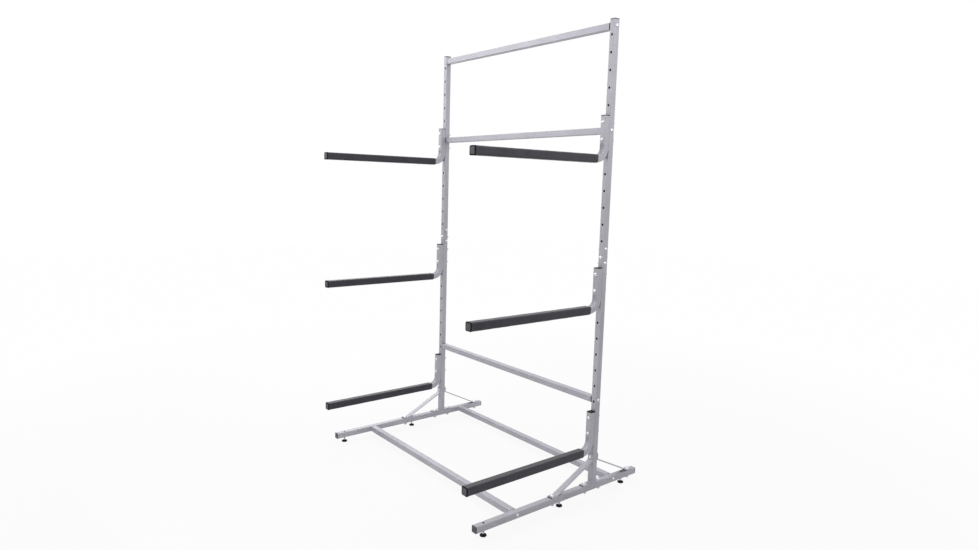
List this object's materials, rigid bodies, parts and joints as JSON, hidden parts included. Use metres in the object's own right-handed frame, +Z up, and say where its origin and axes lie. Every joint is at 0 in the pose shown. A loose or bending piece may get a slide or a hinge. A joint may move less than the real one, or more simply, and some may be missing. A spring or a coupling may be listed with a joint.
{
  "type": "board storage rack",
  "caption": "Freestanding board rack: square-tube posts on levelled legs carry bent arms in foam sleeves at adjustable heights, tied together by crossbars and strap braces.",
  "frame": {"origin": "on the floor, at the middle of the rack's outline", "axes": "+Z up, +X to the right seen from the front, the arms reach towards -Y"},
  "size_m": [1.3156, 1.084, 2.21],
  "materials": {
    "powder_coat": "satin",
    "zinc": "bright",
    "foam": "matte",
    "black_plastic": "satin"
  },
  "bodies": {
    "frame": {"leg_left": "powder_coat", "leg_right": "powder_coat", "base_plate_left": "powder_coat", "base_plate_right": "powder_coat", "post_lower_left": "powder_coat", "post_lower_right": "powder_coat", "post_upper_left": "powder_coat", "post_upper_right": "powder_coat", "splice_sleeve_left": "powder_coat", "splice_sleeve_right": "powder_coat", "brace_front_left": "powder_coat", "brace_front_right": "powder_coat", "brace_rear_left": "powder_coat", "brace_rear_right": "powder_coat", "crossbar_top": "powder_coat", "crossbar_middle": "powder_coat", "crossbar_low": "powder_coat", "base_bar_front": "powder_coat", "base_bar_rear": "powder_coat", "arm_top_left": "powder_coat", "arm_top_right": "powder_coat", "arm_middle_left": "powder_coat", "arm_middle_right": "powder_coat", "arm_bottom_left": "powder_coat", "arm_bottom_right": "powder_coat", "foam_top_left": "foam", "foam_top_right": "foam", "foam_middle_left": "foam", "foam_middle_right": "foam", "foam_bottom_left": "foam", "foam_bottom_right": "foam", "leg_end_plugs": "black_plastic", "post_top_plugs": "black_plastic", "crossbar_plugs": "black_plastic", "arm_top_plugs": "black_plastic", "arm_tip_plugs": "black_plastic", "arm_bolts": "zinc", "arm_nuts": "zinc", "splice_bolts": "zinc", "splice_nuts": "zinc", "brace_post_bolts": "zinc", "brace_post_nuts": "zinc", "brace_foot_bolts": "zinc", "brace_foot_nuts": "zinc", "base_plate_bolts": "zinc", "base_plate_nuts": "zinc", "crossbar_bolts": "zinc", "foot_weld_nuts": "zinc"},
    "foot_front_left": {"foot_pad_front_left": "black_plastic", "foot_stem_front_left": "zinc"},
    "foot_middle_left": {"foot_pad_middle_left": "black_plastic", "foot_stem_middle_left": "zinc"},
    "foot_rear_left": {"foot_pad_rear_left": "black_plastic", "foot_stem_rear_left": "zinc"},
    "foot_front_right": {"foot_pad_front_right": "black_plastic", "foot_stem_front_right": "zinc"},
    "foot_middle_right": {"foot_pad_middle_right": "black_plastic", "foot_stem_middle_right": "zinc"},
    "foot_rear_right": {"foot_pad_rear_right": "black_plastic", "foot_stem_rear_right": "zinc"}
  },
  "joints": [
    {"name": "level_front_left", "type": "slide", "parent": "frame", "child": "foot_front_left", "axis": [0, 0, 1], "range_m": [-0.01, 0.012]},
    {"name": "level_middle_left", "type": "slide", "parent": "frame", "child": "foot_middle_left", "axis": [0, 0, 1], "range_m": [-0.01, 0.012]},
    {"name": "level_rear_left", "type": "slide", "parent": "frame", "child": "foot_rear_left", "axis": [0, 0, 1], "range_m": [-0.01, 0.012]},
    {"name": "level_front_right", "type": "slide", "parent": "frame", "child": "foot_front_right", "axis": [0, 0, 1], "range_m": [-0.01, 0.012]},
    {"name": "level_middle_right", "type": "slide", "parent": "frame", "child": "foot_middle_right", "axis": [0, 0, 1], "range_m": [-0.01, 0.012]},
    {"name": "level_rear_right", "type": "slide", "parent": "frame", "child": "foot_rear_right", "axis": [0, 0, 1], "range_m": [-0.01, 0.012]}
  ]
}
